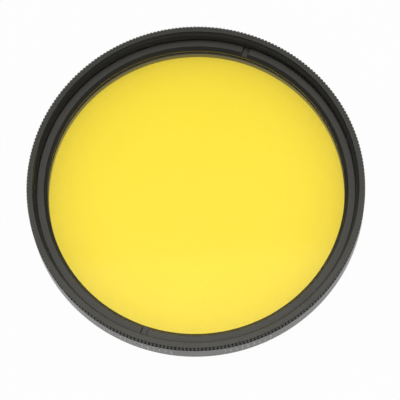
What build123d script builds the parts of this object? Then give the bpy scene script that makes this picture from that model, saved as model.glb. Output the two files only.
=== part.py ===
from build123d import *
import math
import os

# Screw-in colour filter for a camera lens, in millimetres.
# The origin is the centre of the rear end face, +Z runs along the optical axis to the front.

# Turned ring: front and rear thread
thread_diameter = 52.0
thread_depth = 0.45
front_thread_lead_in = 0.05
spigot_length = 2.1
spigot_end_chamfer = 0.3

# Turned ring: flange with the knurled grip and the plain band below it
flange_height = 5.1
rim_wall = 1.0
rim_chamfer = 0.1
knurl_height = 1.4
knurl_pitch = 0.6
knurl_depth = 0.23
knurl_crest_width = 0.25
knurl_recess = 0.05
band_edge_chamfer = 0.1
tool_overrun = 0.4

# Turned ring: seat for the glass, and the bores in front of it and behind it
seat_thickness = 1.4
seat_width = 1.4
rear_bore_depth = 0.9
rear_bore_step = 0.8
rear_bore_chamfer = 0.15
pocket_step = 0.35
inner_bore_step = 0.45

# Glass disc
glass_thickness = 1.6
glass_edge_chamfer = 0.2
glass_clearance = 0.1
glass_stand_proud = 0.3

# Retaining ring
retainer_height = 0.95
retainer_clearance = 0.05
retainer_sink = 0.15
retainer_face_width = 1.05
retainer_bore_chamfer = 0.58
retainer_outer_chamfer = 0.05
slot_width = 0.9
slot_depth = 0.45
slot_edge_chamfer = 0.1
slot_angle = 66.2

# Heights that follow
flange_bottom = spigot_length
rim_top = flange_bottom + flange_height
knurl_bottom = rim_top - knurl_height
seat_top = rear_bore_depth + seat_thickness
glass_top = seat_top + glass_thickness
pocket_top = glass_top - glass_stand_proud
retainer_top = glass_top + retainer_height
front_bore_bottom = retainer_top + retainer_sink

# Radii that follow
front_bore_radius = thread_diameter / 2
spigot_radius = front_bore_radius - thread_depth
inner_bore_radius = front_bore_radius - inner_bore_step
pocket_radius = inner_bore_radius - pocket_step
aperture_radius = pocket_radius - seat_width
rear_bore_radius = aperture_radius + rear_bore_step
band_radius = front_bore_radius + rim_wall
knurl_radius = band_radius - knurl_recess
glass_radius = pocket_radius - glass_clearance
retainer_radius = inner_bore_radius - retainer_clearance
retainer_face_radius = retainer_radius - retainer_outer_chamfer - retainer_face_width
retainer_bore_radius = retainer_face_radius - retainer_bore_chamfer

# The knurl's teeth, all the way round
tooth_count = round(2 * math.pi * knurl_radius / knurl_pitch)
tooth_angle = 2 * math.pi / tooth_count


def turned(points):
    """A body of revolution about the optical axis from radius and height pairs."""
    outline = Polyline(*[(radius, 0, height) for radius, height in points], close=True)
    return revolve(make_face(outline), Axis.Z)


def ring_blank():
    """The ring as it leaves the lathe, before the grip is knurled."""
    seat = [
        (rear_bore_radius + rear_bore_chamfer, 0),
        (rear_bore_radius, rear_bore_chamfer),
        (rear_bore_radius, rear_bore_depth),
        (aperture_radius, rear_bore_depth),
        (aperture_radius, seat_top),
        (pocket_radius, seat_top),
        (pocket_radius, pocket_top),
        (inner_bore_radius, pocket_top),
        (inner_bore_radius, front_bore_bottom),
    ]
    front_bore = [
        (front_bore_radius, front_bore_bottom),
        (front_bore_radius, rim_top - front_thread_lead_in),
        (front_bore_radius + front_thread_lead_in, rim_top),
    ]
    flange = [
        (band_radius, rim_top),
        (band_radius, flange_bottom + band_edge_chamfer),
        (band_radius - band_edge_chamfer, flange_bottom),
    ]
    spigot = [
        (spigot_radius, flange_bottom),
        (spigot_radius, spigot_end_chamfer),
        (spigot_radius - spigot_end_chamfer, 0),
    ]
    return turned(seat + front_bore + flange + spigot)


def polar_point(radius, angle):
    return (radius * math.cos(angle), radius * math.sin(angle))


def knurl_outline():
    """Closed outline of the straight knurl: a flat crest and a V groove for each tooth."""
    half_crest = knurl_crest_width / 2 / knurl_radius
    points = []
    for tooth in range(tooth_count):
        middle = tooth * tooth_angle
        points.append(polar_point(knurl_radius, middle - half_crest))
        points.append(polar_point(knurl_radius, middle + half_crest))
        points.append(polar_point(knurl_radius - knurl_depth, middle + tooth_angle / 2))
    return Polyline(*points, close=True)


def facet_outline(apothem):
    """Closed polygon with one flat side for each tooth, and its corners in the grooves."""
    corner_radius = apothem / math.cos(tooth_angle / 2)
    corners = [(tooth + 0.5) * tooth_angle for tooth in range(tooth_count)]
    return Polyline(*[polar_point(corner_radius, corner) for corner in corners], close=True)


def knurled_grip():
    """The rim's knurl as a solid disc, each tooth with its own chamfer facet at the front."""
    teeth = extrude(make_face(knurl_outline()), knurl_height)
    widest = knurl_radius - rim_chamfer + knurl_height
    facets = extrude(make_face(facet_outline(widest)), knurl_height, taper=45)
    return teeth & facets


def knurling_waste():
    """What the knurling tool takes off the rim."""
    stock = extrude(Circle(band_radius + tool_overrun), knurl_height + tool_overrun)
    return Pos(0, 0, knurl_bottom) * (stock - knurled_grip())


def filter_ring():
    """Knurled mounting ring: front thread bore, glass seat and rear thread spigot in one piece."""
    return ring_blank() - knurling_waste()


def filter_glass():
    """Flat dyed glass disc with a small ground chamfer on both edges."""
    edge = glass_radius - glass_edge_chamfer
    return turned([
        (0, seat_top),
        (edge, seat_top),
        (glass_radius, seat_top + glass_edge_chamfer),
        (glass_radius, glass_top - glass_edge_chamfer),
        (edge, glass_top),
        (0, glass_top),
    ])


def spanner_slot():
    """Bar that cuts both spanner slots across the ring's front face, and breaks their edges."""
    half = slot_width / 2
    reach = retainer_radius + slot_width
    section = Polyline(
        (0, half + slot_edge_chamfer, retainer_top),
        (0, half, retainer_top - slot_edge_chamfer),
        (0, half, retainer_top - slot_depth),
        (0, -half, retainer_top - slot_depth),
        (0, -half, retainer_top - slot_edge_chamfer),
        (0, -half - slot_edge_chamfer, retainer_top),
        close=True,
    )
    bar = extrude(make_face(section), reach, dir=(1, 0, 0), both=True)
    return Rot(0, 0, slot_angle) * bar


def retaining_ring():
    """Threaded ring that holds the glass down, with a bevelled bore and two spanner slots."""
    ring = turned([
        (retainer_bore_radius, glass_top),
        (retainer_radius - retainer_outer_chamfer, glass_top),
        (retainer_radius, glass_top + retainer_outer_chamfer),
        (retainer_radius, retainer_top - retainer_outer_chamfer),
        (retainer_radius - retainer_outer_chamfer, retainer_top),
        (retainer_face_radius, retainer_top),
        (retainer_bore_radius, retainer_top - retainer_bore_chamfer),
    ])
    return ring - spanner_slot()


os.makedirs("parts", exist_ok=True)
for name, piece in {
    "filter_ring": filter_ring(),
    "filter_glass": filter_glass(),
    "retaining_ring": retaining_ring(),
}.items():
    export_step(piece, f"parts/{name}.step")
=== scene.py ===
import math

import bmesh
import bpy
from mathutils import Matrix, Vector


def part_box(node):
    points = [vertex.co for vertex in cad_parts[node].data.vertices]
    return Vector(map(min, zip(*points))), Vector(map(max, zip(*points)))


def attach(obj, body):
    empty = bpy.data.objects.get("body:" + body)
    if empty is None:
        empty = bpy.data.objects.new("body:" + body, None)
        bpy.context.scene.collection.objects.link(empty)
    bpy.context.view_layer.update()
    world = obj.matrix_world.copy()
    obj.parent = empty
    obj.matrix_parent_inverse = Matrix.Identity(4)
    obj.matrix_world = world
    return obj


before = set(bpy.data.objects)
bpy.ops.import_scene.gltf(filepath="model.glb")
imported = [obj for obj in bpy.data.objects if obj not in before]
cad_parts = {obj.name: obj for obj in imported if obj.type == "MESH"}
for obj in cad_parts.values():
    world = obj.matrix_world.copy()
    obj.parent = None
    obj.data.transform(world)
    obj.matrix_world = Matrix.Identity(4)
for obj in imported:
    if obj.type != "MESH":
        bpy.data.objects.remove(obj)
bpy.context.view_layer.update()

# Mounting ring.
# One piece of aluminium bar, turned to the flange, both threads and the seat for the glass.
# Its grip is rolled on with a straight knurling wheel, then the whole ring is anodised satin black.


def put(tree, kind, links=None, **settings):
    """Adds a node, sets its own settings, and fills its inputs with sockets or plain values."""
    node = tree.nodes.new("ShaderNode" + kind)
    for key, value in settings.items():
        setattr(node, key, value)
    for key, value in (links or {}).items():
        if isinstance(value, bpy.types.NodeSocket):
            tree.links.new(value, node.inputs[key])
        else:
            node.inputs[key].default_value = value
    return node


def math_node(tree, operation, first, second=0.0, clamp=False):
    return put(tree, "Math", {0: first, 1: second}, operation=operation, use_clamp=clamp).outputs[0]


def remap(tree, value, low, high, made_low=0.0, made_high=1.0, curve="LINEAR"):
    """Maps a value from low..high to made_low..made_high, and holds it beyond both ends."""
    return put(tree, "MapRange", {0: value, 1: low, 2: high, 3: made_low, 4: made_high},
               interpolation_type=curve).outputs[0]


def effect_group(name, inputs, outputs):
    """An empty node group with float inputs, a vector input named Place, and float outputs."""
    group = bpy.data.node_groups.new(name, "ShaderNodeTree")
    group.interface.new_socket("Place", in_out="INPUT", socket_type="NodeSocketVector")
    for label, value in inputs.items():
        socket = group.interface.new_socket(label, in_out="INPUT", socket_type="NodeSocketFloat")
        socket.default_value = value
    for label in outputs:
        group.interface.new_socket(label, in_out="OUTPUT", socket_type="NodeSocketFloat")
    return group, group.nodes.new("NodeGroupInput"), group.nodes.new("NodeGroupOutput")


def radius_and_height(tree, place):
    """Distance from the optical axis, and height along it."""
    split = put(tree, "SeparateXYZ", {0: place})
    flat = put(tree, "CombineXYZ", {"X": split.outputs["X"], "Y": split.outputs["Y"]})
    radius = put(tree, "VectorMath", {0: flat.outputs[0]}, operation="LENGTH").outputs["Value"]
    return radius, split.outputs["Z"]


def turning_marks_group():
    """Fine concentric grooves that the lathe tool leaves, and slow changes of sheen along them."""
    group, given, made = effect_group("turning_marks", {"Pitch": 0.0001}, ["Groove", "Sheen"])
    radius, height = radius_and_height(group, given.outputs["Place"])
    across = put(group, "CombineXYZ", {
        "X": math_node(group, "DIVIDE", radius, given.outputs["Pitch"]),
        "Y": math_node(group, "DIVIDE", height, given.outputs["Pitch"]),
    })
    grooves = put(group, "TexNoise", {"Vector": across.outputs[0], "Scale": 1.0, "Detail": 2.0})
    patches = put(group, "TexNoise", {"Vector": given.outputs["Place"], "Scale": 160.0, "Detail": 3.0})
    bands = put(group, "TexNoise", {"Vector": across.outputs[0], "Scale": 0.12, "Detail": 1.0})
    sheen = math_node(group, "ADD", patches.outputs["Fac"], bands.outputs["Fac"])
    group.links.new(grooves.outputs["Fac"], made.inputs["Groove"])
    group.links.new(math_node(group, "MULTIPLY", sheen, 0.5), made.inputs["Sheen"])
    return group


def edge_wear_group():
    """A thin broken line where a round edge has rubbed, given the edge's radius and height."""
    group, given, made = effect_group(
        "edge_wear", {"Edge Radius": 0.026, "Edge Height": 0.0, "Width": 0.0001}, ["Worn"])
    radius, height = radius_and_height(group, given.outputs["Place"])
    aside = math_node(group, "SUBTRACT", radius, given.outputs["Edge Radius"])
    above = math_node(group, "SUBTRACT", height, given.outputs["Edge Height"])
    gap = put(group, "CombineXYZ", {"X": aside, "Y": above})
    away = put(group, "VectorMath", {0: gap.outputs[0]}, operation="LENGTH").outputs["Value"]
    widths_away = math_node(group, "DIVIDE", away, given.outputs["Width"])
    near = math_node(group, "SUBTRACT", 1.0, widths_away, True)
    broken = put(group, "TexNoise", {"Vector": given.outputs["Place"], "Scale": 420.0, "Detail": 4.0})
    rubbed = remap(group, broken.outputs["Fac"], 0.42, 0.72)
    group.links.new(math_node(group, "MULTIPLY", near, rubbed), made.inputs["Worn"])
    return group


def dust_group():
    """A few pale specks, each in its own cell, and a thin uneven film between them."""
    group, given, made = effect_group("dust", {"Cell": 0.002, "Speck": 0.08, "Film": 0.3}, ["Dust"])
    cells = put(group, "VectorMath", {0: given.outputs["Place"], 1: given.outputs["Cell"]},
                operation="DIVIDE")
    specks = put(group, "TexVoronoi", {"Vector": cells.outputs[0], "Scale": 1.0})
    size = put(group, "SeparateColor", {0: specks.outputs["Color"]})
    reach = math_node(group, "MULTIPLY", given.outputs["Speck"], size.outputs[0])
    speck = math_node(group, "LESS_THAN", specks.outputs["Distance"], reach)
    film = put(group, "TexNoise", {"Vector": given.outputs["Place"], "Scale": 240.0, "Detail": 5.0})
    haze = remap(group, film.outputs["Fac"], 0.45, 0.85)
    thin = math_node(group, "MULTIPLY", haze, given.outputs["Film"])
    group.links.new(math_node(group, "MAXIMUM", speck, thin), made.inputs["Dust"])
    return group


turning_marks = turning_marks_group()
edge_wear = edge_wear_group()
dust = dust_group()


def grouped(tree, group, place, values):
    """Places a node group with the values of this material."""
    node = put(tree, "Group", node_tree=group)
    tree.links.new(place, node.inputs["Place"])
    for label, value in values.items():
        node.inputs[label].default_value = value
    return node


def blend_colours(tree, share, under, over):
    mix = put(tree, "Mix", {"Factor": share}, data_type="RGBA")
    for socket, colour in ((mix.inputs["A"], under), (mix.inputs["B"], over)):
        if isinstance(colour, bpy.types.NodeSocket):
            tree.links.new(colour, socket)
        else:
            socket.default_value = (*colour, 1.0)
    return mix.outputs["Result"]


def new_material(name):
    """A material with only its output and Principled shader, and the Object coordinates."""
    material = bpy.data.materials.new(name)
    material.use_nodes = True
    tree = material.node_tree
    place = put(tree, "TexCoord").outputs["Object"]
    return material, tree, tree.nodes["Principled BSDF"], place


def inside_band(tree, place, inner_radius, low, high):
    """1 outside the given radius and between two heights, and 0 elsewhere."""
    radius, height = radius_and_height(tree, place)
    outer = math_node(tree, "GREATER_THAN", radius, inner_radius)
    above = math_node(tree, "GREATER_THAN", height, low)
    below = math_node(tree, "LESS_THAN", height, high)
    return math_node(tree, "MULTIPLY", outer, math_node(tree, "MULTIPLY", above, below))


worn_grey = (0.16, 0.155, 0.145)
worn_share = 0.5
dust_grey = (0.20, 0.195, 0.18)
glossiest, dullest = 0.27, 0.36
rolled_dullness = 0.28


def black_anodised(name, worn_edges, groove_pitch, groove_depth, black, grey, rolled=None):
    """Satin black anodising over turned aluminium. worn_edges gives the radius, height and width of
    each rubbed edge, and rolled the inner radius and two heights of a band that is duller."""
    material, tree, shader, place = new_material(name)
    marks = grouped(tree, turning_marks, place, {"Pitch": groove_pitch})
    colour = blend_colours(tree, marks.outputs["Sheen"], black, grey)
    worn = 0.0
    for edge_radius, edge_height, width in worn_edges:
        edge = grouped(tree, edge_wear, place, {
            "Edge Radius": edge_radius, "Edge Height": edge_height, "Width": width})
        worn = math_node(tree, "MAXIMUM", worn, edge.outputs["Worn"])
    colour = blend_colours(tree, math_node(tree, "MULTIPLY", worn, worn_share), colour, worn_grey)
    settled = grouped(tree, dust, place, {"Cell": 0.0016, "Speck": 0.06, "Film": 0.05})
    facing = put(tree, "SeparateXYZ", {0: put(tree, "NewGeometry").outputs["Normal"]}).outputs["Z"]
    level = math_node(tree, "POWER", math_node(tree, "MAXIMUM", facing, 0.0), 4.0)
    lying = math_node(tree, "MULTIPLY", settled.outputs["Dust"], level)
    colour = blend_colours(tree, lying, colour, dust_grey)
    rough = remap(tree, marks.outputs["Sheen"], 0.3, 0.7, glossiest, dullest)
    if rolled:
        duller = math_node(tree, "MULTIPLY", inside_band(tree, place, *rolled), rolled_dullness)
        rough = math_node(tree, "ADD", rough, duller)
    bump = put(tree, "Bump", {
        "Height": marks.outputs["Groove"], "Strength": 0.5, "Distance": groove_depth})
    tree.links.new(colour, shader.inputs["Base Color"])
    tree.links.new(rough, shader.inputs["Roughness"])
    tree.links.new(bump.outputs[0], shader.inputs["Normal"])
    shader.inputs["IOR"].default_value = 1.55
    shader.inputs["Specular Tint"].default_value = (1.0, 0.975, 0.86, 1.0)
    return material


def finish_node(name, material):
    """Gives a piece that comes from the CAD frame its finish."""
    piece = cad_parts[name]
    piece.data.materials.clear()
    piece.data.materials.append(material)


ring_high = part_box("filter_ring")[1]
outer_radius = ring_high.x
rim_top = ring_high.z
rim_wall = 0.001
front_root_radius = outer_radius - rim_wall
lead_in = 0.00005
rim_chamfer = 0.0001
knurl_recess = 0.00005
knurl_radius = outer_radius - knurl_recess
knurl_depth = 0.00023
knurl_height = 0.0014
knurl_bottom = rim_top - knurl_height
ring_finish = black_anodised(
    "black_anodised_ring",
    worn_edges=[
        (front_root_radius + lead_in, rim_top, 0.00006),
        (knurl_radius - rim_chamfer, rim_top, 0.00014),
        (knurl_radius, rim_top - rim_chamfer, 0.00018),
    ],
    groove_pitch=0.00006, groove_depth=0.000004,
    black=(0.016, 0.016, 0.015), grey=(0.026, 0.026, 0.024),
    rolled=(knurl_radius - knurl_depth, knurl_bottom, rim_top - rim_chamfer))
finish_node("filter_ring", ring_finish)

# Front thread.
# The female filter thread, M52 x 0.75, cut in the ring's rim to take another filter, a hood or a cap.
# It is part of the ring. It rises out of the ledge below it and fades out in the lead-in chamfer.
thread_pitch = 0.00075
thread_height = 0.0004
half_root = thread_pitch * 7 / 16
half_tip = thread_pitch / 16
steps_per_turn = 144
root_sink = 0.00005
run_out = thread_pitch / 4
ledge_above_retainer = 0.00015
front_bore_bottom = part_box("retaining_ring")[1].z + ledge_above_retainer
ledge_sink = thread_pitch / 8
sharp_angle = math.radians(25)


def sort_by_place(elements, place):
    """Puts vertices or faces in the order of their places, so that each run lists them alike."""
    rank = {element: index for index, element in enumerate(sorted(elements, key=place))}
    elements.sort(key=rank.get)


def mesh_piece(name, bm):
    """Makes the finished mesh an object at the origin, smooth but for its sharp edges."""
    sort_by_place(bm.verts, lambda vert: vert.co[:])
    sort_by_place(bm.faces, lambda face: face.calc_center_median()[:])
    mesh = bpy.data.meshes.new(name)
    bm.to_mesh(mesh)
    bm.free()
    mesh.shade_smooth()
    mesh.set_sharp_from_angle(angle=sharp_angle)
    piece = bpy.data.objects.new(name, mesh)
    bpy.context.scene.collection.objects.link(piece)
    return piece


def thread_ridge(name, root_radius, tip_radius, start, top, trim):
    """A helical ridge of V section, faded out at both ends. Its middle starts at one height and
    its upper flank ends at the other. trim(radius, height) gives a point's last radius."""
    sunk_radius = root_radius + math.copysign(root_sink, root_radius - tip_radius)
    end = top - half_root
    turns = (end - start) / thread_pitch
    steps = round(steps_per_turn * turns)
    bm = bmesh.new()
    corners = [(sunk_radius, -half_root), (tip_radius, -half_tip),
               (tip_radius, half_tip), (sunk_radius, half_root)]
    section = [bm.verts.new((radius, 0, start + height)) for radius, height in corners]
    rails = [bm.edges.new(ends) for ends in zip(section, section[1:] + section[:1])]
    bmesh.ops.spin(bm, geom=section + rails, cent=(0, 0, 0), axis=(0, 0, 1),
                   dvec=(0, 0, (end - start) / steps), angle=2 * math.pi * turns,
                   steps=steps, use_duplicate=False)
    bmesh.ops.holes_fill(bm, edges=bm.edges, sides=len(corners))
    for vert in bm.verts:
        radius = math.hypot(vert.co.x, vert.co.y)
        turn = math.atan2(vert.co.y, vert.co.x) / (2 * math.pi)
        middle = start + thread_pitch * (turn + round((vert.co.z - start) / thread_pitch - turn))
        fade = min(1, (middle - start) / run_out, (end - middle) / run_out)
        cut = trim(sunk_radius + (radius - sunk_radius) * max(fade, 0), vert.co.z)
        vert.co.x *= cut / radius
        vert.co.y *= cut / radius
    bmesh.ops.recalc_face_normals(bm, faces=bm.faces)
    inside_out = bm.calc_volume(signed=True) < 0
    if inside_out:
        bmesh.ops.reverse_faces(bm, faces=bm.faces)
    return mesh_piece(name, bm)


def front_lead_in(radius, height):
    return max(radius, front_root_radius + lead_in - (rim_top - height))


front_thread = thread_ridge(
    "front_thread_form", front_root_radius, front_root_radius - thread_height,
    front_bore_bottom - ledge_sink, rim_top - lead_in, front_lead_in)
front_thread.data.materials.append(ring_finish)
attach(front_thread, "root")

# Rear thread.
# The male filter thread, M52 x 0.75, on the spigot behind the flange, which screws into the lens.
# It is part of the ring too, with a chamfered start at the rear and a short run-out below the flange.
spigot_inset = 0.00045
spigot_radius = front_root_radius - spigot_inset
spigot_chamfer = 0.0003
rear_thread_start = 0.00055
flange_bottom = 0.0021
plain_neck = 0.0003


def rear_lead_in(radius, height):
    return min(radius, spigot_radius - spigot_chamfer + height)


rear_thread = thread_ridge(
    "rear_thread_form", spigot_radius, spigot_radius + thread_height,
    rear_thread_start, flange_bottom - plain_neck, rear_lead_in)
rear_thread.data.materials.append(ring_finish)
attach(rear_thread, "root")

# Index marks.
# Short white strokes on the plain band: fine engraved lines filled with paint.
# They stand in two plain rows where such a ring is marked, and say nothing.
band_edge_chamfer = 0.0001
band_bottom = flange_bottom + band_edge_chamfer
band_top = knurl_bottom
mark_width = 0.00030
mark_proud = 0.00001
mark_depth = 0.00006
end_rounding = mark_width * 0.45
space_above = 0.0006
space_below_long, space_below_short = 0.0007, 0.0011
long_every = 4
mark_rows = ((-127.0, -103.0, 13), (-85.0, -69.0, 9))


def index_mark(bm, angle, low, high):
    """One upright stroke with round ends, set into the band at an angle about the axis."""
    middle_radius = outer_radius + mark_proud - mark_depth / 2
    outwards = Matrix.Translation((middle_radius, 0, (low + high) / 2))
    size = Matrix.Diagonal((mark_depth, mark_width, high - low, 1))
    stroke = bmesh.ops.create_cube(
        bm, size=1, matrix=Matrix.Rotation(angle, 4, "Z") @ outwards @ size)
    edges = dict.fromkeys(edge for vert in stroke["verts"] for edge in vert.link_edges)
    radial = [edge for edge in edges if math.isclose(edge.calc_length(), mark_depth, rel_tol=0.01)]
    bmesh.ops.bevel(bm, geom=radial, offset=end_rounding, offset_type="OFFSET", segments=3,
                    profile=0.5, affect="EDGES", material=-1)


bm = bmesh.new()
for first, last, count in mark_rows:
    for index in range(count):
        turn = first + (last - first) * index / (count - 1)
        space_below = space_below_short if index % long_every else space_below_long
        index_mark(bm, math.radians(turn), band_bottom + space_below, band_top - space_above)
marks = mesh_piece("index_marks", bm)


def mark_paint():
    """Matt white fill, a little thin in places so that the black shows through."""
    material, tree, shader, place = new_material("white_mark_paint")
    thin = put(tree, "TexNoise", {"Vector": place, "Scale": 2500.0, "Detail": 3.0})
    cover = remap(tree, thin.outputs["Fac"], 0.3, 0.5)
    colour = blend_colours(tree, cover, (0.16, 0.16, 0.155), (0.72, 0.72, 0.70))
    tree.links.new(colour, shader.inputs["Base Color"])
    shader.inputs["Roughness"].default_value = 0.7
    return material


marks.data.materials.append(mark_paint())
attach(marks, "root")

# Glass.
# A flat disc of optical glass, dyed yellow in the mass and polished on both faces.
# It lies on the ring's seat and is held there by the retaining ring.
pale_dye = (1.0, 0.785, 0.014)
deep_dye = (1.0, 0.775, 0.012)
speck_roughness = 0.5


def yellow_glass():
    """Clear yellow glass: its dye varies very slightly, and a few specks lie on it."""
    material, tree, shader, place = new_material("yellow_glass")
    density = put(tree, "TexNoise", {"Vector": place, "Scale": 60.0, "Detail": 1.0})
    dye = remap(tree, density.outputs["Fac"], 0.3, 0.7)
    specks = grouped(tree, dust, place, {"Cell": 0.006, "Speck": 0.03, "Film": 0.0})
    rough = math_node(tree, "MULTIPLY", specks.outputs["Dust"], speck_roughness)
    tree.links.new(blend_colours(tree, dye, pale_dye, deep_dye), shader.inputs["Base Color"])
    tree.links.new(rough, shader.inputs["Roughness"])
    shader.inputs["IOR"].default_value = 1.52
    shader.inputs["Transmission Weight"].default_value = 1.0
    return material


finish_node("filter_glass", yellow_glass())

# Retaining ring.
# A thin turned ring that is screwed down on the glass with a pin spanner in its two slots.
# It is anodised like the mounting ring, and its inner edge is bevelled so that it casts no shade.
retainer_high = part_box("retaining_ring")[1]
retainer_chamfer = 0.00005
face_outer_radius = retainer_high.x - retainer_chamfer
face_width = 0.00105
retainer_finish = black_anodised(
    "black_anodised_retainer",
    worn_edges=[
        (face_outer_radius - face_width, retainer_high.z, 0.00006),
        (face_outer_radius, retainer_high.z, 0.00005),
    ],
    groove_pitch=0.00008, groove_depth=0.000005,
    black=(0.017, 0.017, 0.0165), grey=(0.028, 0.028, 0.026))
finish_node("retaining_ring", retainer_finish)

# Floor.
# A flat white ground under the filter's rear end. It isn't part of the object, and keeps its shadow.
# Camera, gloss and glass see it near white; through the glass a mask adds painted shade beside the
# ring.
floor_reach = 3.0
share_in_view = 0.97
share_in_gloss = 0.9
shade_beside_ring = 0.56
shade_falloff = 6.0


def white_floor():
    material, tree, shader, place = new_material("white_floor")
    tree.nodes.remove(shader)
    path = put(tree, "LightPath").outputs
    seen = math_node(tree, "MULTIPLY", path["Is Camera Ray"], share_in_view)
    only_gloss = math_node(tree, "SUBTRACT", path["Is Glossy Ray"], path["Is Transmission Ray"], True)
    mirrored = math_node(tree, "MULTIPLY", only_gloss, share_in_gloss)
    # Painted shade: through the glass the floor's glow falls off towards the ring, and its real
    # diffuse shade shows instead.
    out_to_ring = math_node(tree, "DIVIDE", radius_and_height(tree, place)[0], spigot_radius)
    beside_ring = math_node(tree, "POWER", out_to_ring, shade_falloff)
    shade = math_node(tree, "MULTIPLY", beside_ring, shade_beside_ring)
    open_share = math_node(tree, "SUBTRACT", 1.0, shade, True)
    through = math_node(tree, "MULTIPLY", path["Is Transmission Ray"], open_share)
    share = math_node(tree, "MAXIMUM", math_node(tree, "MAXIMUM", seen, mirrored), through)
    paper = put(tree, "BsdfDiffuse", {"Color": (0.9, 0.9, 0.9, 1.0)})
    white = put(tree, "Emission", {"Strength": 1.0})
    mixed = put(tree, "MixShader", {0: share, 1: paper.outputs[0], 2: white.outputs[0]})
    tree.links.new(mixed.outputs[0], tree.nodes["Material Output"].inputs["Surface"])
    return material


bm = bmesh.new()
bmesh.ops.create_grid(bm, x_segments=1, y_segments=1, size=floor_reach)
floor = mesh_piece("floor", bm)
floor.data.materials.append(white_floor())

# Lights.
# A round lamp straight above, in a pale room whose ceiling brightens towards the point overhead.
# The far wall is lit low down, and the soft edge of a far panel overhead shows in the glass.
lamp_height = 0.7
lamp_radiance = 1.5
lamp = bpy.data.lights.new("soft_overhead", "AREA")
lamp.shape = "DISK"
lamp.size = 0.30
lamp.energy = lamp_radiance * math.pi * math.pi * (lamp.size / 2) ** 2
lamp_object = bpy.data.objects.new("soft_overhead", lamp)
lamp_object.location = (0.0, 0.0, lamp_height)
bpy.context.scene.collection.objects.link(lamp_object)

ceiling_edge, ceiling_dim, ceiling_bright = 0.883, 0.17, 2.16
far_wall_from, far_wall_to = 0.4, 0.9
near_wall_level, far_wall_level = 0.12, 1.0
wall_bright_below, wall_dark_above = 0.30, 0.48
panel_outer_slope, panel_inner_slope = 0.302, 0.290
panel_level, panel_least_rise = 0.35, 0.8
least_rise = 0.01
world = bpy.data.worlds.new("pale_room")
bpy.context.scene.world = world
world.use_nodes = True
room = world.node_tree
toward = put(room, "SeparateXYZ", {0: put(room, "TexCoord").outputs["Generated"]}).outputs
ceiling = remap(room, toward["Z"], ceiling_edge, 1.0, ceiling_dim, ceiling_bright)
far_side = remap(room, toward["Y"], far_wall_from, far_wall_to, near_wall_level, far_wall_level)
low_down = remap(room, toward["Z"], wall_bright_below, wall_dark_above, 1.0, 0.0, "SMOOTHSTEP")
walls = math_node(room, "MULTIPLY", far_side, low_down)
slope = math_node(room, "DIVIDE", toward["Y"], math_node(room, "MAXIMUM", toward["Z"], least_rise))
panel = remap(room, slope, panel_outer_slope, panel_inner_slope, 0.0, panel_level, "SMOOTHSTEP")
overhead = math_node(room, "GREATER_THAN", toward["Z"], panel_least_rise)
lit_ceiling = math_node(room, "ADD", ceiling, math_node(room, "MULTIPLY", panel, overhead))
level = math_node(room, "ADD", lit_ceiling, walls)
seen = put(room, "Mix", {"Factor": put(room, "LightPath").outputs["Is Camera Ray"],
                         "A": level, "B": 1.0}, data_type="FLOAT")
room.links.new(seen.outputs["Result"], room.nodes["Background"].inputs["Strength"])
room.nodes["Background"].inputs["Color"].default_value = (1.0, 1.0, 1.0, 1.0)

# Camera.
# It looks down on the front of the filter, 18 degrees off the axis, from about arm's length.
view_angle = math.radians(72.2)
roll = math.radians(5.0)
distance = 0.378
pixels_per_metre = 6291.0
frame_pixels = 400
rim_centre_pixel = (195.47, 183.98)
camera = bpy.data.cameras.new("camera")
camera.sensor_width = 36.0
camera.lens = camera.sensor_width * pixels_per_metre * distance / frame_pixels
camera.clip_start = 0.01
turned = Matrix.Rotation(math.pi / 2 - view_angle, 4, "X") @ Matrix.Rotation(-roll, 4, "Z")
right, up, back = turned.col[0].to_3d(), turned.col[1].to_3d(), turned.col[2].to_3d()
aim = Vector((0, 0, rim_top))
aim += right * (frame_pixels / 2 - rim_centre_pixel[0]) / pixels_per_metre
aim -= up * (frame_pixels / 2 - rim_centre_pixel[1]) / pixels_per_metre
camera_object = bpy.data.objects.new("camera", camera)
camera_object.matrix_world = Matrix.Translation(aim + back * distance) @ turned
bpy.context.scene.collection.objects.link(camera_object)
bpy.context.scene.camera = camera_object
bpy.context.scene.view_settings.view_transform = "Standard"
